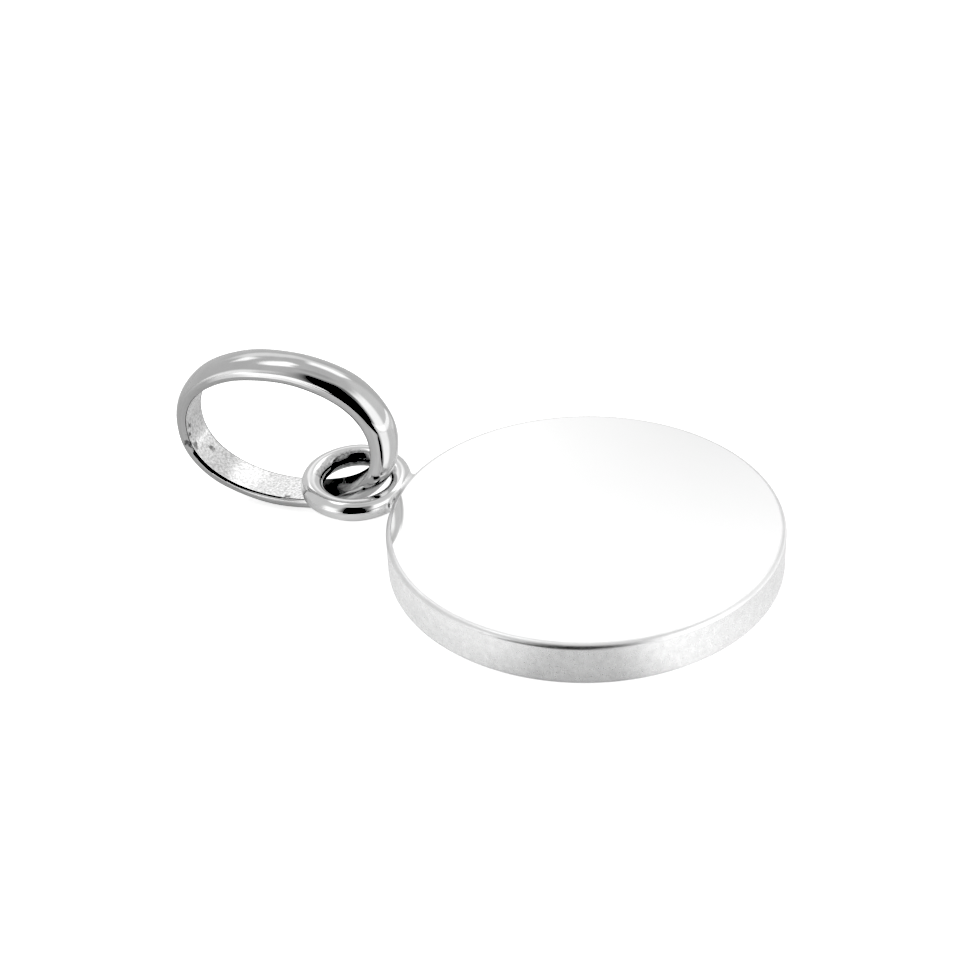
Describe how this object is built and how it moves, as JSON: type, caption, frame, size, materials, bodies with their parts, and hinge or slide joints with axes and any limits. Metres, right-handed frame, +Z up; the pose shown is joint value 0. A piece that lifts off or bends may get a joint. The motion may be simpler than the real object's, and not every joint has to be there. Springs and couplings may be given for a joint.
{
  "type": "disc pendant",
  "caption": "Plain polished disc pendant with a wire ring soldered to its edge and a loose oval bail threaded through the ring, for hanging on a chain.",
  "frame": {"origin": "middle of the disc's back face, which lies on the surface", "axes": "+Z up, out of the disc's front face; +Y from the disc to the ring and bail; +X to the right"},
  "size_m": [0.018, 0.0292, 0.0082],
  "materials": {
    "disc_silver": "polished silver, mirror faces and a finely rubbed edge",
    "bail_silver": "polished silver, satin inside"
  },
  "bodies": {
    "root": {"disc_with_ring": "disc_silver", "bail": "bail_silver"}
  },
  "joints": []
}
